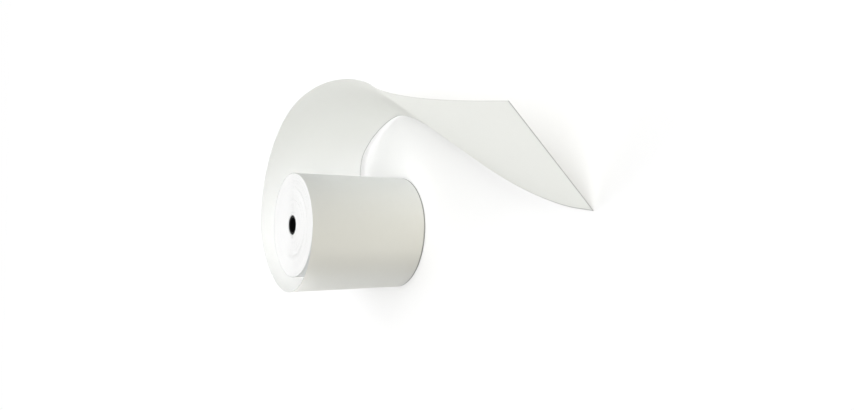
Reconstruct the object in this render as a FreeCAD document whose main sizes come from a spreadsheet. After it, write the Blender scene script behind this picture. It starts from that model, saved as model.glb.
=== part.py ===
"""Thermal paper roll, 80 mm wide, standing on one end with its outer turn sprung loose.

Frame: origin at the middle of the core's bore, +Z up along the core, -Y to the front.
Sizes are millimetres.  The roll is two pieces: the paper web, wound and loose in one
length, and the plastic tube that it is wound on.

The loose part of the web stands on its lower edge round the wound roll and ends in a free
tail.  It is a flat strip that is only bent, never stretched, and it is walked from the
line where it lifts off the wound roll, at the front.  At each distance the sheet gives a
curl (radians of turning per metre, so 20 is a bend of 50 mm radius) and a slant (degrees
by which the bend line leans away from straight across the web).
"""
import FreeCAD, Part
import math
import os

SIZES = (
    ("web_width", 80, "width of the paper web"),
    ("web_thickness", 0.3, "thickness of the loose web's solid"),
    ("wound_diameter", 67, "diameter of the part that is still tightly wound"),
    ("core_diameter", 12.7, "outside diameter of the core tube"),
    ("core_bore", 9.5, "inside diameter of the core tube"),
    ("core_inset", 0.25, "how far each end of the core lies inside the web's edge"),
    ("core_chamfer", 0.3, "chamfer on the mouths of the core"),
    ("free_length", 440, "length of web from the lift-off line to the cut end"),
    ("station_pitch", 40, "distance between the stations of curl and slant"),
    ("tuck_length", 10, "length of web modelled inside the wound roll before it lifts off"),
    ("tuck_curl", 45, "curl of that tucked length"),
    ("root_length", 40, "length of web, from the lift-off line, whose bend is square across"),
)
CURLS = (17, 28.5, 22.5, 16.4, 18.2, 12.2, 11.4, 16.6, 1.4, -6.4, -6, -1.4, 12.8)
SLANTS = (0, 0, 0, -17, 42, -26, 1, -49, -30, 35, 41, -13, -47)

WALK_STEP = 1.0
GRID_STEP = 4.0
GRID_COLUMNS = 9
SPARE_ROWS = 4


def fill_sheet(doc):
    """Write every driving size into the sheet, one row each, with an alias."""
    rows = list(SIZES)
    for number, curl in enumerate(CURLS):
        rows.append(("curl_station_%d" % number, curl, "curl of the web at station %d" % number))
    for number, slant in enumerate(SLANTS):
        rows.append(("slant_station_%d" % number, slant, "slant of the bend at station %d" % number))
    sheet = doc.addObject("Spreadsheet::Sheet", "sizes")
    for row, (alias, value, meaning) in enumerate(rows, start=1):
        sheet.set("A%d" % row, meaning)
        sheet.set("B%d" % row, str(value))
        sheet.setAlias("B%d" % row, alias)
    doc.recompute()
    return sheet


def cylinder(doc, name, radius, height, start):
    """An upright cylinder whose sizes are expressions on the sheet."""
    shape = doc.addObject("Part::Cylinder", name)
    shape.setExpression("Radius", radius)
    shape.setExpression("Height", height)
    shape.setExpression("Placement.Base.z", start)
    return shape


def cut(doc, name, body, tool):
    """Body minus tool."""
    result = doc.addObject("Part::Cut", name)
    result.Base = body
    result.Tool = tool
    return result


def blend(stations, place):
    """Smooth value at a place counted in stations: a uniform cubic B-spline, ends repeated."""
    last = len(stations) - 1
    place = min(max(place, 0.0), last)
    middle = min(int(place), last - 1)
    part = place - middle
    weights = (
        (1 - part) ** 3,
        3 * part ** 3 - 6 * part ** 2 + 4,
        -3 * part ** 3 + 3 * part ** 2 + 3 * part + 1,
        part ** 3,
    )
    values = [stations[min(max(middle + shift, 0), last)] for shift in (-1, 0, 1, 2)]
    return sum(weight * value for weight, value in zip(weights, values)) / 6


class LooseWeb:
    """The web beyond the wound roll, bent from a flat strip."""

    def __init__(self, sheet):
        self.width = sheet.web_width
        self.thickness = sheet.web_thickness
        self.radius = sheet.wound_diameter / 2
        self.length = sheet.free_length
        self.pitch = sheet.station_pitch
        self.tuck_length = sheet.tuck_length
        self.tuck_curl = sheet.tuck_curl
        self.root_length = sheet.root_length
        self.curls = [getattr(sheet, "curl_station_%d" % n) for n in range(len(CURLS))]
        self.slants = [getattr(sheet, "slant_station_%d" % n) for n in range(len(SLANTS))]

    def turn(self, distance, length):
        """Angle in radians that the web turns over a short length from this distance."""
        middle = distance + length / 2
        if middle < 0:
            return self.tuck_curl * length / 1000
        return blend(self.curls, middle / self.pitch) * length / 1000

    def slant(self, distance):
        """Lean of the bend line in radians."""
        return math.radians(blend(self.slants, distance / self.pitch))

    def walk(self, start, end):
        """Frames along the middle of the web: distance, point, along, inward, across."""
        along = FreeCAD.Vector(-1, 0, 0)
        inward = FreeCAD.Vector(0, 1, 0)
        across = FreeCAD.Vector(0, 0, -1)
        point = inward * -self.radius
        step = math.copysign(WALK_STEP, end - start)
        frames = [(start, point, along, inward, across)]
        for number in range(int(round(abs(end - start) / WALK_STEP))):
            distance = start + number * step
            lean = self.slant(distance + step / 2)
            bend_line = across * math.cos(lean) + along * math.sin(lean)
            half = math.degrees(self.turn(distance, step)) / 2
            rotation = FreeCAD.Rotation(bend_line, half)
            point = point + rotation.multVec(along) * step
            along = rotation.multVec(rotation.multVec(along))
            inward = rotation.multVec(rotation.multVec(inward))
            across = rotation.multVec(rotation.multVec(across))
            frames.append((distance + step, point, along, inward, across))
        return frames

    def edge_line(self, frames, side, height, distances):
        """Points at even flat distances, at one place across the web and one height in it."""
        line = []
        for distance, point, along, inward, across in frames:
            lean = math.tan(self.slant(distance))
            place = point + (across + along * lean) * side + inward * height
            line.append((distance + side * lean, place))
        points = []
        index = 0
        for wanted in distances:
            while line[index + 1][0] < wanted:
                index += 1
            (before, first), (after, second) = line[index], line[index + 1]
            share = (wanted - before) / (after - before)
            points.append(first + (second - first) * share)
        return points

    def root(self):
        """First length of the loose turn, tucked into the wound roll: an upright extrusion."""
        back = self.walk(0.0, -self.tuck_length)
        frames = back[:0:-1] + self.walk(0.0, self.root_length)
        half = self.thickness / 2
        bottom = FreeCAD.Vector(0, 0, -self.width / 2)
        rails = []
        for height in (-half, half):
            curve = Part.BSplineCurve()
            curve.interpolate([frame[1] + frame[3] * height + bottom for frame in frames[::2]])
            rails.append(curve)
        outer, inner = rails
        ends = (
            Part.LineSegment(outer.StartPoint, inner.StartPoint),
            Part.LineSegment(outer.EndPoint, inner.EndPoint),
        )
        outline = Part.Wire(Part.__sortEdges__([piece.toShape() for piece in (outer, inner) + ends]))
        return Part.Face(outline).extrude(FreeCAD.Vector(0, 0, self.width))

    def tail(self):
        """The rest of the web, from the root to the cut end: a thin closed shell."""
        frames = self.walk(0.0, self.length + self.width)
        count = int(round((self.length - self.root_length) / GRID_STEP))
        step = (self.length - self.root_length) / count
        distances = [
            self.root_length + step * n for n in range(-SPARE_ROWS, count + SPARE_ROWS + 1)
        ]
        spare = SPARE_ROWS / (count + 2 * SPARE_ROWS)
        sides = [self.width * (n / (GRID_COLUMNS - 1) - 0.5) for n in range(GRID_COLUMNS)]
        faces = []
        rims = []
        for height in (-self.thickness / 2, self.thickness / 2):
            grid = [self.edge_line(frames, side, height, distances) for side in sides]
            surface = Part.BSplineSurface()
            surface.interpolate(grid)
            surface.segment(0.0, 1.0, spare, 1.0 - spare)
            first_u, last_u, first_v, last_v = surface.bounds()
            faces.append(surface.toShape())
            rims.append([
                surface.uIso(first_u).toShape(),
                surface.uIso(last_u).toShape(),
                surface.vIso(last_v).toShape(),
                surface.vIso(first_v).toShape(),
            ])
        for outer, inner in zip(*rims):
            faces.append(Part.makeRuledSurface(outer, inner, 1))
        shell = Part.makeCompound(faces)
        shell.sewShape()
        return Part.makeSolid(shell.Shells[0])


def feature(doc, name, shape):
    """A document object that holds a shape computed from the sheet."""
    holder = doc.addObject("Part::Feature", name)
    holder.Shape = shape
    holder.Placement = FreeCAD.Placement()
    return holder


def build_paper_roll(doc, sheet):
    """The web: the wound roll, its loosened outer turn and the free end, in one solid."""
    wound = cylinder(doc, "wound_turns", "sizes.wound_diameter / 2", "sizes.web_width",
                     "-sizes.web_width / 2")
    hole = cylinder(doc, "core_hole", "sizes.core_diameter / 2", "sizes.web_width",
                    "-sizes.web_width / 2")
    turns = cut(doc, "turns_on_core", wound, hole)
    loose = LooseWeb(sheet)
    web = doc.addObject("Part::MultiFuse", "paper_roll")
    web.Shapes = [
        turns,
        feature(doc, "loose_turn_root", loose.root()),
        feature(doc, "loose_tail", loose.tail()),
    ]
    web.Label = "paper_roll"
    return web


def build_core(doc):
    """The plastic tube that the web is wound on, a little shorter than the web is wide."""
    length = "sizes.web_width - 2 * sizes.core_inset"
    start = "-sizes.web_width / 2 + sizes.core_inset"
    outside = cylinder(doc, "core_outside", "sizes.core_diameter / 2", length, start)
    inside = cylinder(doc, "core_inside", "sizes.core_bore / 2", length, start)
    tube = cut(doc, "core_tube", outside, inside)
    doc.recompute()
    core = doc.addObject("Part::Chamfer", "core")
    core.Base = tube
    chamfer = doc.getObject("sizes").core_chamfer
    core.Edges = [
        (number, chamfer, chamfer)
        for number, edge in enumerate(tube.Shape.Edges, start=1)
        if isinstance(edge.Curve, Part.Circle)
    ]
    core.Label = "core"
    return core


def check(doc, nodes):
    """Stop if any object failed or any piece is not one valid solid."""
    for item in doc.Objects:
        if "Invalid" in item.State or "Error" in item.State:
            raise RuntimeError("%s failed: %s" % (item.Name, item.State))
    for node in nodes:
        shape = node.Shape
        if shape.isNull() or not shape.isValid() or len(shape.Solids) != 1:
            raise RuntimeError("%s is not one valid solid" % node.Label)


def main():
    doc = FreeCAD.newDocument("thermal_paper_roll")
    sheet = fill_sheet(doc)
    nodes = [build_paper_roll(doc, sheet), build_core(doc)]
    doc.recompute()
    check(doc, nodes)
    os.makedirs("parts", exist_ok=True)
    for node in nodes:
        node.Shape.exportStep("parts/%s.step" % node.Label)
        box = node.Shape.BoundBox
        print("%s: %.1f cm3, x %.2f to %.2f, y %.2f to %.2f, z %.2f to %.2f" % (
            node.Label, node.Shape.Volume / 1000,
            box.XMin, box.XMax, box.YMin, box.YMax, box.ZMin, box.ZMax))


main()
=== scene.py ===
# %% [markdown]
# # A thermal paper roll, standing on end
#
# A till roll is one long strip of paper, the web, wound on a small plastic tube. Here the
# outer turn has sprung loose. It stands on its lower edge round the tight roll and winds out
# into a free tail. The imported model gives the exact sizes and the place of both pieces. This
# script gives them the looks of the real thing: turns that can be seen at the ends, a thin
# sheet of paper with two different faces, and a moulded black tube.
#
# We load the imported model first and keep its box.

import math

import bpy
import numpy as np
from mathutils import Matrix, Vector


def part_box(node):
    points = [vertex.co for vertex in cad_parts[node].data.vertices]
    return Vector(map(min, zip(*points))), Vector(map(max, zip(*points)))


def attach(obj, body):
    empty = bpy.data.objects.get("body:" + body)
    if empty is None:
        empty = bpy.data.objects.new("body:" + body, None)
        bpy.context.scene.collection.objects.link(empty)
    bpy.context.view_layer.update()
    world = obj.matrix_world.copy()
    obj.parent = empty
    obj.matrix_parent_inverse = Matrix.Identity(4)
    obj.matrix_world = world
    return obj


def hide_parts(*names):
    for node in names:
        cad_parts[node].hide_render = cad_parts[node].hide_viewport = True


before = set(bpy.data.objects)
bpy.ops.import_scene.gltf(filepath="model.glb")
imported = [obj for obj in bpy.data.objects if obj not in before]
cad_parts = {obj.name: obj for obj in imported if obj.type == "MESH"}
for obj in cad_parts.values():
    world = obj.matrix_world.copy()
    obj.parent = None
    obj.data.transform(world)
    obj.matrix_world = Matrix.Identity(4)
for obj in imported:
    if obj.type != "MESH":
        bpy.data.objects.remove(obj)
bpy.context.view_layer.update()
roll_low, roll_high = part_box("paper_roll")
core_low, core_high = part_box("core")
print("paper", [round(1000 * v, 1) for v in roll_high - roll_low], "mm")

# %% [markdown]
# ## Sizes
#
# Everything is in metres. The core's box gives its diameter and its length, and the floor is
# the plane that the roll stands on, with a gap under it too small to see. The curls say how
# sharply the loose web bends, in radians per metre, and the slants say how far each bend line
# leans away from straight across, in degrees. There is one of each every `STATION` along the
# web, from the line where it lifts off the tight roll to the cut end.

# %% Sizes
WEB_WIDTH = 0.080
WOUND_RADIUS = 0.0335
FREE_LENGTH = 0.440
PAPER = 0.00015
FLOOR_GAP = 0.0004
STATION = 0.040
CURLS = (17, 28.5, 22.5, 16.4, 18.2, 12.2, 11.4, 16.6, 1.4, -6.4, -6, -1.4, 12.8)
SLANTS = (0, 0, 0, -17, 42, -26, 1, -49, -30, 35, 41, -13, -47)

CORE_RADIUS = (core_high.x - core_low.x) / 2
TURNS = 120
PITCH = (WOUND_RADIUS + PAPER / 2 - CORE_RADIUS) / (TURNS + 1)
FLOOR = -WEB_WIDTH / 2 - FLOOR_GAP
print("core", round(2000 * CORE_RADIUS, 2), "mm across, pitch", round(1000 * PITCH, 3), "mm")

# %% [markdown]
# ## Writing nodes as Python
#
# A material and a Geometry Nodes tree are both graphs of nodes. Wiring them by hand takes many
# lines, so two small classes do it. `Nodes.add` makes any node: its settings are set first,
# and then its sockets get values or links. It returns a `Wire`, the node's output. A `Wire`
# knows the arithmetic operators, so a sum of wires adds the Math nodes for it.

# %% Node helpers
class Wire:
    """An output socket that can be used in Python arithmetic."""

    def __init__(self, nodes, node, output):
        self.nodes, self.node = nodes, node
        self.socket = node.outputs[output] if node.outputs else None

    def maths(self, operation, first, second):
        return self.nodes.add("ShaderNodeMath", {"operation": operation}, {0: first, 1: second})

    def __add__(self, other):
        return self.maths("ADD", self, other)

    def __sub__(self, other):
        return self.maths("SUBTRACT", self, other)

    def __rsub__(self, other):
        return self.maths("SUBTRACT", other, self)

    def __mul__(self, other):
        return self.maths("MULTIPLY", self, other)

    def __abs__(self):
        return self.maths("ABSOLUTE", self, 0.0)

    __radd__ = __add__
    __rmul__ = __mul__


class Nodes:
    """A node tree, with one method that adds any node to it."""

    def __init__(self, tree):
        self.tree = tree

    def add(self, kind, settings=None, sockets=None, output=0):
        node = self.tree.nodes.new(kind)
        for name, value in (settings or {}).items():
            setattr(node, name, value)
        for name, value in (sockets or {}).items():
            if isinstance(value, Wire):
                self.tree.links.new(value.socket, node.inputs[name])
            else:
                node.inputs[name].default_value = value
        return Wire(self, node, output)


print("wires and nodes can be written as Python")

# %% [markdown]
# The rest is what the finishes share: an empty material, noise of some cells a metre, a colour
# between two colours, a bump, and the surface that ends the tree. Two more functions put an
# object in the scene and shade a mesh smooth.

# %% Shared parts
def material(name):
    """An empty node material, and the nodes to fill it with."""
    made = bpy.data.materials.new(name)
    made.use_nodes = True
    made.node_tree.nodes.clear()
    return made, Nodes(made.node_tree)


def noise(nodes, place, cells, detail, roughness=0.5):
    """Noise with some cells a metre, at a place in space."""
    return nodes.add("ShaderNodeTexNoise", None, {
        "Vector": place, "Scale": cells, "Detail": detail, "Roughness": roughness})


def noise_along(nodes, distance, cells, detail=2.0, roughness=0.5):
    """Noise that changes along one distance only."""
    return nodes.add("ShaderNodeTexNoise", {"noise_dimensions": "1D"}, {
        "W": distance, "Scale": cells, "Detail": detail, "Roughness": roughness})


def shade(colour, share=1.0):
    """A colour made darker by a share, with its alpha."""
    return (*(share * part for part in colour), 1)


def mixed(nodes, share, first, second, blend="MIX"):
    """A colour between two colours, or one multiplied by the other."""
    return nodes.add("ShaderNodeMix", {"data_type": "RGBA", "blend_type": blend},
                     {0: share, 6: first, 7: second}, output=2)


def bumped(nodes, height, strength, depth):
    """A normal tilted by a height, which is worth a depth in metres."""
    return nodes.add("ShaderNodeBump", None, {
        "Height": height, "Strength": strength, "Distance": depth})


def surface(nodes, tint, roughness, specular, normal=None):
    """The Principled surface that every finish is made of."""
    sockets = {"Base Color": tint, "Roughness": roughness, "Specular IOR Level": specular}
    if normal:
        sockets["Normal"] = normal
    return nodes.add("ShaderNodeBsdfPrincipled", None, sockets)


def finished(made, nodes, face):
    """The material, once its face is wired to the output."""
    nodes.add("ShaderNodeOutputMaterial", None, {"Surface": face})
    return made


def placed(name, data):
    """A new object, put in the scene at the origin."""
    made = bpy.data.objects.new(name, data)
    bpy.context.collection.objects.link(made)
    return made


def smoothed(mesh, sharpest):
    """Shade a mesh smooth, but keep its edges sharper than an angle in degrees."""
    mesh.shade_smooth()
    mesh.set_sharp_from_angle(angle=math.radians(sharpest))


print("shared parts ready")

# %% [markdown]
# ## Paper
#
# Uncoated paper is a felt of fibres. Held to the light it is cloudy, because the fibres lie in
# flocs a few millimetres wide, and close up it has a fine tooth. Noise at two scales gives
# both. The large one does most to tint the colour, by a percent or two, and the small one does
# most to drive a bump of a few hundredths of a millimetre.
#
# The outer face of thermal paper carries a smooth coating, so it is less rough than the inner
# face and takes a faint sheen. A single sheet also lets some light through. A Mix Shader adds
# a share of Translucent light for that. The wound turns are too thick to let light through,
# so they share the same recipe without it.
#
# The fibres are longer along the web than across it. The loose web has a UV map in metres, so
# its pattern follows the strip as it turns. The same map places two more things. One is painted
# shade. Past the bright part of the loop, the plain face is painted greyer and warmer over the
# top of the loop and the tail, and there the sheet also lets less light through. From just
# before the lift-off line on, the coated face is painted warmer and darker. The other is a thin
# grey line of painted shade along the edge that the web stands on, where it meets the floor,
# and along the cut end.
#
# Each painted shade is a tint that multiplies the colour, and the places between which it comes
# in, as distances from the line where the web lifts off. A little past that line the web starts
# to let light through.

# %% Painted shade along the strip
# Painted shade: a thin grey line along the foot of the web and along its cut end.
EDGE_SHADE_GREY = (0.12, 0.12, 0.12, 1)
EDGE_SHADE_SHARE = 0.8
FOOT_SHADE_BAND = 0.0005
CUT_SHADE_BAND = 0.00035
# Painted shade: a greyer tint past the bright part of the loop, and a warmer, darker tint from
# just before the lift-off line on.
GREY_PAINTED_SHADE, GREY_SHADE_FROM_TO = (0.945, 0.95, 0.905, 1), (0.14, 0.22)
WARM_PAINTED_SHADE, WARM_SHADE_FROM_TO = (0.93, 0.902, 0.828, 1), (-0.05, 0.01)


def smooth_step(nodes, value, start, end, height=1.0):
    """A wire that climbs smoothly from 0 to the height between two values."""
    return nodes.add("ShaderNodeMapRange", {"interpolation_type": "SMOOTHSTEP"}, {
        "Value": value, "From Min": start, "From Max": end, "To Min": 0.0, "To Max": height})


def painted_edge_shade(nodes, tint, distance, edge, band):
    """The tint with a thin grey line of painted shade along an edge, at a distance in the flat
    strip.
    """
    near = smooth_step(nodes, distance, edge - 2 * band, edge - band / 2, EDGE_SHADE_SHARE)
    return mixed(nodes, near, tint, EDGE_SHADE_GREY)


print("edge lines about", 1000 * FOOT_SHADE_BAND, "and", 1000 * CUT_SHADE_BAND, "mm wide")

# %% Paper finish
FLOCS, FIBRES = 260.0, 2600.0
ALONG_THE_WEB = (0.6, 1, 1)
THIN_SPOT = 0.965
TOOTH_DEPTH = 0.00004
LIT_THROUGH = (0.98, 0.98, 0.975, 1)
SEEN_THROUGH = 0.5
SEEN_THROUGH_FROM_TO = (0.012, 0.045)
SEEN_THROUGH_LOSS = 0.22
COATED = (0.785, 0.798, 0.785)
PLAIN = (0.955, 0.97, 0.99)


def paper(name, colour, roughness, tooth, shade_tint=None, shade_tint_from_to=None):
    """Paper finish. With a painted shade tint it is loose paper, which lets some light through."""
    made, nodes = material(name)
    place = nodes.add("ShaderNodeTexCoord", output="UV" if shade_tint else "Object")
    felt = nodes.add("ShaderNodeMapping", None, {"Vector": place, "Scale": ALONG_THE_WEB})
    clouds = noise(nodes, felt, FLOCS, 3.0, 0.6)
    fibres = noise(nodes, felt, FIBRES, 4.0, 0.7)
    tint = mixed(
        nodes, clouds * 0.6 + fibres * 0.4, shade(colour, THIN_SPOT), shade(colour))
    if shade_tint:
        along = nodes.add("ShaderNodeSeparateXYZ", None, {"Vector": place}, "X")
        across = Wire(nodes, along.node, "Y")
        # Painted shade: the tint comes in between two distances along the strip.
        shade_amount = smooth_step(nodes, along, *shade_tint_from_to)
        tint = mixed(nodes, shade_amount, tint, shade_tint, "MULTIPLY")
        # Painted shade: thin grey lines along the foot of the web and along the cut end.
        tint = painted_edge_shade(nodes, tint, across, WEB_WIDTH, FOOT_SHADE_BAND)
        tint = painted_edge_shade(nodes, tint, along, FREE_LENGTH, CUT_SHADE_BAND)
    bump = bumped(nodes, fibres * 0.7 + clouds * 0.3, tooth, TOOTH_DEPTH)
    face = surface(nodes, tint, roughness - 0.1 + fibres * 0.2, 0.3, bump)
    if shade_tint:
        lost = smooth_step(nodes, along, *GREY_SHADE_FROM_TO, SEEN_THROUGH_LOSS)
        share = smooth_step(nodes, along, *SEEN_THROUGH_FROM_TO, SEEN_THROUGH) * (1 - lost)
        glow = nodes.add("ShaderNodeBsdfTranslucent", None, {
            "Color": LIT_THROUGH, "Normal": bump})
        face = nodes.add("ShaderNodeMixShader", None, {0: share, 1: face, 2: glow})
    return finished(made, nodes, face)


coated_sheet = paper("coated_face_of_sheet", COATED, 0.52, 0.25, WARM_PAINTED_SHADE, WARM_SHADE_FROM_TO)
plain_sheet = paper("plain_face_of_sheet", PLAIN, 0.72, 0.5, GREY_PAINTED_SHADE, GREY_SHADE_FROM_TO)
coated_roll = paper("coated_face_of_roll", COATED, 0.52, 0.25)
print("paper finishes", coated_sheet.name, plain_sheet.name, coated_roll.name)

# %% [markdown]
# ## Cut edges
#
# The ends of the roll are the slit edges of some hundreds of turns. Each turn's edge is a ring,
# rougher than the faces, and some turns stand a hair prouder than others. The rings are noise
# along one direction only: the distance from the roll's axis. Vector Math measures that
# distance from the Object coordinates with the height left out.

# %% Cut edge finish
EDGE_RINGS, RING_BANDS, PAPER_DUST = 4200.0, 330.0, 3000.0
DARK_RING = 0.93
RING_DEPTH = 0.00005


def slit_edges(name, colour):
    """Edges of cut paper, with rings round the axis."""
    made, nodes = material(name)
    place = nodes.add("ShaderNodeTexCoord", output="Object")
    level = nodes.add(
        "ShaderNodeVectorMath", {"operation": "MULTIPLY"}, {0: place, 1: (1, 1, 0)})
    distance = nodes.add("ShaderNodeVectorMath", {"operation": "LENGTH"}, {0: level}, "Value")
    rings = noise_along(nodes, distance, EDGE_RINGS, 3.0, 0.65)
    bands = noise_along(nodes, distance, RING_BANDS)
    dust = noise(nodes, place, PAPER_DUST, 3.0)
    tint = mixed(
        nodes, rings * 0.5 + bands * 0.5, shade(colour, DARK_RING), shade(colour))
    bump = bumped(nodes, rings * 0.75 + dust * 0.25, 0.35, RING_DEPTH)
    return finished(made, nodes, surface(nodes, tint, 0.75 + dust * 0.2, 0.2, bump))


roll_ends = slit_edges("slit_edges_of_turns", (0.885, 0.885, 0.88))
# The sheet's cut edges are much darker than the paper: partly the greyer cut fibre, partly painted
# shade that shows the sheet's rims as a thin dark line.
sheet_edges_and_shade = slit_edges("cut_edges_of_sheet", (0.55, 0.55, 0.53))
print("edge finishes", roll_ends.name, sheet_edges_and_shade.name)

# %% [markdown]
# ## Black plastic
#
# The core is a cheap moulded tube, matt and nearly black, with the faint waviness of the
# mould and fine scratches. Its colour stays dark all over, so what the eye sees change is the
# roughness and the bump.

# %% Plastic finish
MOULD_STREAKS, MOULD_GRAIN = 2400.0, 5200.0
DRAWN_OUT = (1, 1, 0.08)
STREAK_DEPTH = 0.00003


def black_plastic(name):
    """Matt black plastic with streaks along the tube."""
    made, nodes = material(name)
    place = nodes.add("ShaderNodeTexCoord", output="Object")
    drawn = nodes.add("ShaderNodeMapping", None, {"Vector": place, "Scale": DRAWN_OUT})
    streaks = noise(nodes, drawn, MOULD_STREAKS, 3.0)
    grain = noise(nodes, place, MOULD_GRAIN, 2.0)
    bump = bumped(nodes, streaks * 0.6 + grain * 0.4, 0.2, STREAK_DEPTH)
    tint = mixed(nodes, grain, (0.002, 0.002, 0.0021, 1), (0.004, 0.004, 0.0041, 1))
    return finished(made, nodes, surface(nodes, tint, 0.45 + streaks * 0.25, 0.05, bump))


core_black = black_plastic("core_black_plastic")
print("core finish", core_black.name)

# %% [markdown]
# ## The wound turns
#
# The tight part of the roll is a spiral: the same strip laid on itself, turn after turn. A
# Geometry Nodes tree follows that rule. A Spiral curve runs from the core outwards, and Curve
# to Mesh sweeps the strip's section along it. A real roll has some 450 turns of 0.06 mm. One
# ribbon here stands for a few of them, which is as fine as the ends can show, and its rounded
# corners leave a hairline groove between neighbours. Noise lifts and lowers the ribbon by a few
# hundredths of a millimetre along its way, so the ends are not perfectly flat.
#
# The web lifts off at the front of the roll and passes to the left, so the spiral grows
# clockwise as seen from above and has its end at the front. The very last turn belongs to the
# loose web, which is made further down, so the spiral stops one turn short of the full radius.
# It runs on by `OVERRUN`, a small part of a turn, to meet the place where that last turn starts.

# %% Spiral tree
POINTS_A_TURN = 64
WANDER_CELLS = 70.0
RIBBON_FILL = 0.985
FACES_UP = 0.3


def spiral_tree():
    """A ribbon wound into a spiral, with one finish on its faces and one on its edges."""
    tree = bpy.data.node_groups.new("wound_turns", "GeometryNodeTree")
    nodes = Nodes(tree)
    names = ("Inner radius", "Pitch", "Turns", "Height", "Unevenness", "Corner", "Seed")
    for name in names:
        tree.interface.new_socket(name, in_out="INPUT", socket_type="NodeSocketFloat")
    tree.interface.new_socket("Geometry", in_out="OUTPUT", socket_type="NodeSocketGeometry")
    given = tree.nodes.new("NodeGroupInput")
    inner_radius, pitch, turns, height, unevenness, corner, seed = (
        Wire(nodes, given, name) for name in names)

    first = inner_radius + pitch * 0.5
    path = nodes.add("GeometryNodeCurveSpiral", None, {
        "Resolution": POINTS_A_TURN, "Rotations": turns, "Height": 0.0, "Reverse": False,
        "Start Radius": first, "End Radius": first + pitch * (turns - 1)})
    path = nodes.add("GeometryNodeTransform", None, {
        "Geometry": path, "Rotation": (0, 0, -math.pi / 2)})
    way = nodes.add("GeometryNodeSplineParameter", output="Factor")
    wander = noise_along(nodes, way + seed, WANDER_CELLS)
    lift = nodes.add("ShaderNodeCombineXYZ", None, {"Z": (wander - 0.5) * unevenness * 2})
    path = nodes.add("GeometryNodeSetPosition", None, {"Geometry": path, "Offset": lift})

    section = nodes.add("GeometryNodeCurvePrimitiveQuadrilateral", None, {
        "Width": pitch * RIBBON_FILL, "Height": height - unevenness * 2})
    section = nodes.add("GeometryNodeFilletCurve", None, {"Curve": section, "Radius": corner})
    ribbon = nodes.add("GeometryNodeCurveToMesh", None, {
        "Curve": path, "Profile Curve": section, "Fill Caps": True})
    normal = nodes.add("GeometryNodeInputNormal")
    up = nodes.add("ShaderNodeSeparateXYZ", None, {"Vector": normal}, "Z")
    at_end = nodes.add("FunctionNodeCompare", {"operation": "GREATER_THAN"}, {
        "A": abs(up), "B": FACES_UP})
    ribbon = nodes.add("GeometryNodeRealizeInstances", None, {"Geometry": ribbon})
    ribbon = nodes.add("GeometryNodeSetMaterial", None, {
        "Geometry": ribbon, "Material": coated_roll})
    ribbon = nodes.add("GeometryNodeSetMaterial", None, {
        "Geometry": ribbon, "Selection": at_end, "Material": roll_ends})
    nodes.add("NodeGroupOutput", None, {"Geometry": ribbon})
    return tree


wound_tree = spiral_tree()
print("spiral tree has", len(wound_tree.nodes), "nodes")

# %% [markdown]
# A Geometry Nodes modifier only shows its result. Its inputs are set by their identifiers,
# `new_from_object` turns the evaluated result into a plain mesh, and the modifier goes away
# with the object that carried it.

# %% Bake the turns
OVERRUN = 0.0023
TURN_SIZES = {
    "Inner radius": CORE_RADIUS, "Pitch": PITCH, "Turns": TURNS + OVERRUN, "Height": WEB_WIDTH,
    "Unevenness": 0.00006, "Corner": 0.00003, "Seed": 3}


def bake(tree, name, sizes):
    """Run a tree that needs no input mesh, and keep its result as a plain object."""
    carrier = placed(name + "_carrier", bpy.data.meshes.new(name + "_carrier"))
    modifier = carrier.modifiers.new("tree", "NODES")
    modifier.node_group = tree
    for socket in tree.interface.items_tree:
        if socket.in_out == "INPUT":
            modifier[socket.identifier] = float(sizes[socket.name])
    view = bpy.context.evaluated_depsgraph_get()
    mesh = bpy.data.meshes.new_from_object(carrier.evaluated_get(view))
    mesh.name = name
    carrier.modifiers.remove(modifier)
    bpy.data.objects.remove(carrier)
    return placed(name, mesh)


wound_turns = bake(wound_tree, "wound_turns", TURN_SIZES)
smoothed(wound_turns.data, 35)
corners = np.array([v.co for v in wound_turns.data.vertices])
print("wound turns", len(wound_turns.data.polygons), "faces, box",
      corners.min(0).round(5), corners.max(0).round(5))

# %% [markdown]
# ## The loose web
#
# Paper bends but does not stretch, so the loose web has to stay a flat strip that is only
# rolled about straight lines. We walk along its middle line with three arrows: along the web,
# inward, and across. At each small step the arrows turn about the bend line by the curl. The
# bend line lies in the sheet, leaning from straight across by the slant. A point of the flat
# strip is then found by going out along the bend line that passes through it.
#
# The curls and slants are blended between the stations by a B-spline, which keeps the bend
# smooth. The walk goes on past the cut end by the width of the web, because near that end some
# bend lines cross the middle line further on.

# %% Walk along the web
WALK_STEP = 0.001


def blend(stations, place):
    """B-spline value of the stations at each place, counted in stations."""
    last = len(stations) - 1
    start = np.clip(np.floor(place), 0, last - 1).astype(int)
    part = np.clip(place, 0, last) - start
    values = np.pad(np.array(stations, float), 1, mode="edge")
    return (
        (1 - part) ** 3 * values[start]
        + (3 * part**3 - 6 * part**2 + 4) * values[start + 1]
        + (-3 * part**3 + 3 * part**2 + 3 * part + 1) * values[start + 2]
        + part**3 * values[np.minimum(start + 3, last + 2)]
    ) / 6


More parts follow.
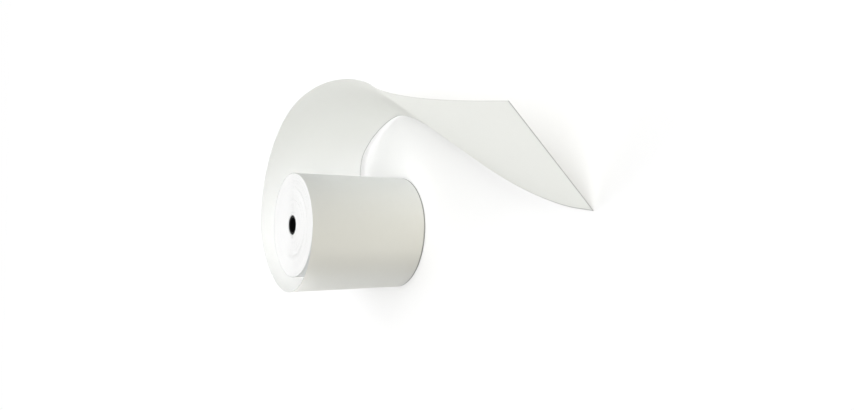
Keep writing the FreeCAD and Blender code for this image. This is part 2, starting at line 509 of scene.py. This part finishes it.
def walk(step, steps):
    """Distance, lean, middle point, inward arrow and bend line at each step of the way."""
    along, inward, across = Vector((-1, 0, 0)), Vector((0, 1, 0)), Vector((0, 0, -1))
    point = inward * -WOUND_RADIUS
    distances = step * np.arange(steps + 1)
    curls = blend(CURLS, (distances + step / 2) / STATION) * step
    slants = np.radians(blend(SLANTS, (distances + step / 2) / STATION))
    leans = np.tan(np.radians(blend(SLANTS, distances / STATION)))
    rows = []
    for distance, curl, slant, lean in zip(distances, curls, slants, leans):
        rows.append((distance, lean, point.copy(), inward.copy(), across + along * lean))
        bend_line = across * math.cos(slant) + along * math.sin(slant)
        half_turn = Matrix.Rotation(curl / 2, 3, bend_line)
        point = point + half_turn @ along * step
        turn = half_turn @ half_turn
        along, inward, across = turn @ along, turn @ inward, turn @ across
    return rows


web_rows = walk(WALK_STEP, int(round((FREE_LENGTH + WEB_WIDTH) / WALK_STEP)))
cut_row = web_rows[int(round(FREE_LENGTH / WALK_STEP))]
print("walked", len(web_rows), "steps; the middle line ends near", cut_row[2])

# %% [markdown]
# The mesh is a regular grid of that strip: rows at even flat distances from the lift-off line,
# columns across. A second copy of the grid, one paper thickness further in, is the inner face,
# and a rim of quads joins the two. The first rows are the roll's outermost turn. They go back
# once round the roll, one pitch deeper by the end, and stop under the line where the web lifts
# off. So the whole side of the roll is one unbroken sheet, and its start is out of sight.

# %% Web grid
ROW_STEP = 0.002
COLUMNS = 17
FREE_ROWS = int(round(FREE_LENGTH / ROW_STEP))
WRAP_ROWS = int(2 * math.pi * WOUND_RADIUS / ROW_STEP)
LIFT_OFF = WRAP_ROWS * ROW_STEP


def web_line(side, height):
    """Points at even flat distances, at one place across the web and one height in it."""
    flat = [distance + side * lean for distance, lean, *_ in web_rows]
    places = np.array([point + line * side + inward * height
                       for _, _, point, inward, line in web_rows])
    wanted = np.arange(FREE_ROWS + 1) * ROW_STEP
    free = np.stack([np.interp(wanted, flat, places[:, k]) for k in range(3)], 1)
    turned = np.arange(WRAP_ROWS, 0, -1) * ROW_STEP / WOUND_RADIUS
    radius = WOUND_RADIUS - height - PITCH * turned / (2 * math.pi)
    wrap = np.stack([radius * np.sin(turned), -radius * np.cos(turned), 0 * turned - side], 1)
    return np.concatenate([wrap, free])


def web_face(height):
    """The whole grid at one height in the sheet, rows by columns."""
    sides = np.linspace(-0.5, 0.5, COLUMNS) * WEB_WIDTH
    return np.stack([web_line(side, height) for side in sides], 1)


outer, inner = web_face(-PAPER / 2), web_face(PAPER / 2)
rows = len(outer)
print("web grid", outer.shape, "lowest point", outer[:, :, 2].min().round(6))

# %% Web mesh
OUTSIDE, INSIDE, CUT_EDGE = 0, 1, 2


def number(layer, row, column):
    """The number of a grid corner in the mesh."""
    return (layer * rows + row) * COLUMNS + column


def web_mesh():
    """Faces of the outer side, the inner side and the rim, and the finish of each."""
    faces, finishes = [], []
    for row in range(rows - 1):
        for column in range(COLUMNS - 1):
            ring = [(row, column), (row, column + 1), (row + 1, column + 1), (row + 1, column)]
            faces.append([number(OUTSIDE, *corner) for corner in reversed(ring)])
            faces.append([number(INSIDE, *corner) for corner in ring])
            finishes += [OUTSIDE, INSIDE]
    rim = [(0, column) for column in range(COLUMNS - 1)]
    rim += [(row, COLUMNS - 1) for row in range(rows - 1)]
    rim += [(rows - 1, column) for column in range(COLUMNS - 1, 0, -1)]
    rim += [(row, 0) for row in range(rows - 1, 0, -1)]
    for here, after in zip(rim, rim[1:] + rim[:1]):
        faces.append([number(OUTSIDE, *here), number(OUTSIDE, *after),
                      number(INSIDE, *after), number(INSIDE, *here)])
        finishes.append(CUT_EDGE)
    mesh = bpy.data.meshes.new("loose_web")
    mesh.from_pydata(np.concatenate([outer, inner]).reshape(-1, 3).tolist(), [], faces)
    mesh.polygons.foreach_set("material_index", finishes)
    return mesh


loose_web = placed("loose_web", web_mesh())
for finish in (coated_sheet, plain_sheet, sheet_edges_and_shade):
    loose_web.data.materials.append(finish)
print("loose web", len(loose_web.data.polygons), "faces")

# %% [markdown]
# The fibre pattern reads a UV map that is the flat strip itself, in metres: the distance along
# it and the distance across. Each corner of each face looks up its grid place.

# %% Web UV map and shading
def flat_map(mesh):
    """Give each corner of each face its place in the flat strip."""
    layer = mesh.uv_layers.new(name="flat_strip")
    corners = np.empty(len(mesh.loops), int)
    mesh.loops.foreach_get("vertex_index", corners)
    row, column = corners // COLUMNS % rows, corners % COLUMNS
    flat = np.stack([row * ROW_STEP - LIFT_OFF, column * WEB_WIDTH / (COLUMNS - 1)], 1)
    layer.data.foreach_set("uv", flat.ravel())


flat_map(loose_web.data)
smoothed(loose_web.data, 35)
loose_web.data.validate()
print("flat strip", round(LIFT_OFF + FREE_LENGTH, 4), "m long,", WEB_WIDTH, "m wide")

# %% [markdown]
# ## The core
#
# The tube is a turned profile: bore, mouth chamfers, end rings and outside, with a shallow
# moulding step just inside each mouth. Its outline is given once, for one half, mirrored, and
# spun round the axis.

# %% Core mesh
SPIN = 96
BORE_RADIUS = 0.00475
CHAMFER = 0.0003
STEP_IN = 0.00006
STEP_FROM, STEP_TO = 0.0030, 0.0028


def core_outline():
    """Radius and height round the wall's section, starting in the bore at the lower end."""
    end = core_high.z
    lower = [
        (BORE_RADIUS, -end + STEP_FROM),
        (BORE_RADIUS + STEP_IN, -end + STEP_TO),
        (BORE_RADIUS + STEP_IN, -end + CHAMFER),
        (BORE_RADIUS + CHAMFER, -end),
        (CORE_RADIUS - CHAMFER, -end),
        (CORE_RADIUS, -end + CHAMFER),
    ]
    upper = [(radius, -height) for radius, height in reversed(lower)]
    return lower + upper


def spun(name, outline):
    """A closed ring whose section is the outline."""
    turns = np.arange(SPIN) * 2 * math.pi / SPIN
    points = [(r * math.cos(a), r * math.sin(a), z) for a in turns for r, z in outline]
    count = len(outline)
    faces = []
    for turn in range(SPIN):
        near, far = turn * count, (turn + 1) % SPIN * count
        for here in range(count):
            after = (here + 1) % count
            faces.append([near + here, far + here, far + after, near + after])
    mesh = bpy.data.meshes.new(name)
    mesh.from_pydata(points, [], faces)
    return placed(name, mesh)


core_tube = spun("core_tube", core_outline())
core_tube.data.materials.append(core_black)
smoothed(core_tube.data, 25)
print("core tube", len(core_tube.data.polygons), "faces")

# %% [markdown]
# ## Tie the pieces to the imported model
#
# Each piece rides on the one body of the row, and the imported node that it stands for is hidden.

# %% Ride and replace
for piece, node, slot in (
    (wound_turns, "paper_roll", "thermal_paper"),
    (loose_web, "paper_roll", "thermal_paper"),
    (core_tube, "core", "core_plastic"),
):
    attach(piece, "root")
    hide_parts(node)

# %% [markdown]
# ## Floor, light and camera
#
# The roll stands on a plain white floor that runs to the horizon. The lamps further down give a
# level surface a little more light than full white, so a floor of this colour is seen as white
# all over and still takes the shadow near the paper.

# %% Floor
FLOOR_HALF = 30.0
FLOOR_WHITE = (0.93, 0.93, 0.93, 1)


def floor_plane(half):
    """One large square, level with the foot of the roll."""
    mesh = bpy.data.meshes.new("floor")
    mesh.from_pydata(
        [(x * half, y * half, FLOOR) for x, y in ((-1, -1), (1, -1), (1, 1), (-1, 1))],
        [], [(0, 1, 2, 3)])
    return placed("floor", mesh)


floor = floor_plane(FLOOR_HALF)
matt_white, white_nodes = material("floor_white")
floor.data.materials.append(
    finished(matt_white, white_nodes, surface(white_nodes, FLOOR_WHITE, 0.9, 0.0)))
print("floor at", FLOOR)

# %% [markdown]
# The sky is there to be seen: it is white to the camera and in reflections. It also shines
# through thin paper, as any bright room does. All other light comes from the lamps.

# %% Sky
def sky():
    """White to the camera, in reflections and through thin paper, and dark otherwise."""
    world = bpy.data.worlds.new("studio_sky")
    world.use_nodes = True
    world.node_tree.nodes.clear()
    nodes = Nodes(world.node_tree)
    rays = [nodes.add("ShaderNodeLightPath", output=f"Is {kind} Ray")
            for kind in ("Camera", "Glossy", "Transmission")]
    light = nodes.add("ShaderNodeBackground", None, {
        "Color": (1, 1, 1, 1), "Strength": rays[0] + rays[1] + rays[2]})
    nodes.add("ShaderNodeOutputWorld", None, {"Surface": light})
    return world


bpy.context.scene.world = sky()
print("sky", bpy.context.scene.world.name)

# %% [markdown]
# Thin paper looks its best with light behind it, so three low lamps stand in a half circle at
# the back. Four more hang higher up, all round, and light the floor and the faces. They are
# Sun lamps, because those light a floor evenly out to the horizon. The width is how large the
# lamp looks from the object: fifty or sixty degrees gives the soft edges of a studio softbox.

# %% Lamps
LAMP_DISTANCE = 2.0


def lamp(name, bearing, height, width, strength):
    """A soft lamp: its bearing from +X, its height above the horizon and its width, in degrees."""
    light = bpy.data.lights.new(name, "SUN")
    light.angle, light.energy = math.radians(width), strength
    made = placed(name, light)
    turn, rise = math.radians(bearing), math.radians(height)
    towards = Vector((
        math.cos(turn) * math.cos(rise), math.sin(turn) * math.cos(rise), math.sin(rise)))
    made.location = towards * LAMP_DISTANCE
    made.rotation_euler = towards.to_track_quat("Z", "Y").to_euler()
    return made


lamps = [
    lamp("back", 90, 15, 60, 1.37),
    lamp("back_left", 140, 15, 50, 0.74),
    lamp("back_right", 40, 15, 50, 0.39),
    lamp("back_top", 90, 55, 50, 0.34),
    lamp("right_top", 0, 55, 50, 0.83),
    lamp("front_left", 250, 55, 50, 1.30),
    lamp("front_top", 290, 55, 50, 1.06),
]
heights = [one.location.z / LAMP_DISTANCE for one in lamps]
level = sum(one.data.energy * height for one, height in zip(lamps, heights)) / math.pi
print("light on a level surface", round(level, 3), "of full white")

# %% [markdown]
# The camera looks down at the roll by about 33 degrees and is turned on its side, so that the
# roll seems to lie. Its place and its arrows are in the same frame as the model.

# %% Camera
CAMERA_PLACE = (0.00963, -0.40495, 0.19799)
CAMERA_BACK = (-0.01123, -0.84052, 0.54166)
CAMERA_UP = (0.99978, 0.0, 0.02074)
LENS, SENSOR = 27.9, 36.0


def camera(place, back, up, lens):
    """A camera at a place, with the direction behind it and the direction of its top."""
    back, up = Vector(back).normalized(), Vector(up).normalized()
    right = up.cross(back)
    data = bpy.data.cameras.new("camera")
    data.lens, data.sensor_width = lens, SENSOR
    made = placed("camera", data)
    turn = Matrix((right, up, back)).transposed()
    made.matrix_world = Matrix.Translation(Vector(place)) @ turn.to_4x4()
    return made


bpy.context.scene.camera = camera(CAMERA_PLACE, CAMERA_BACK, CAMERA_UP, LENS)
bpy.context.scene.view_settings.view_transform = "Standard"
print("camera", bpy.context.scene.camera.location)
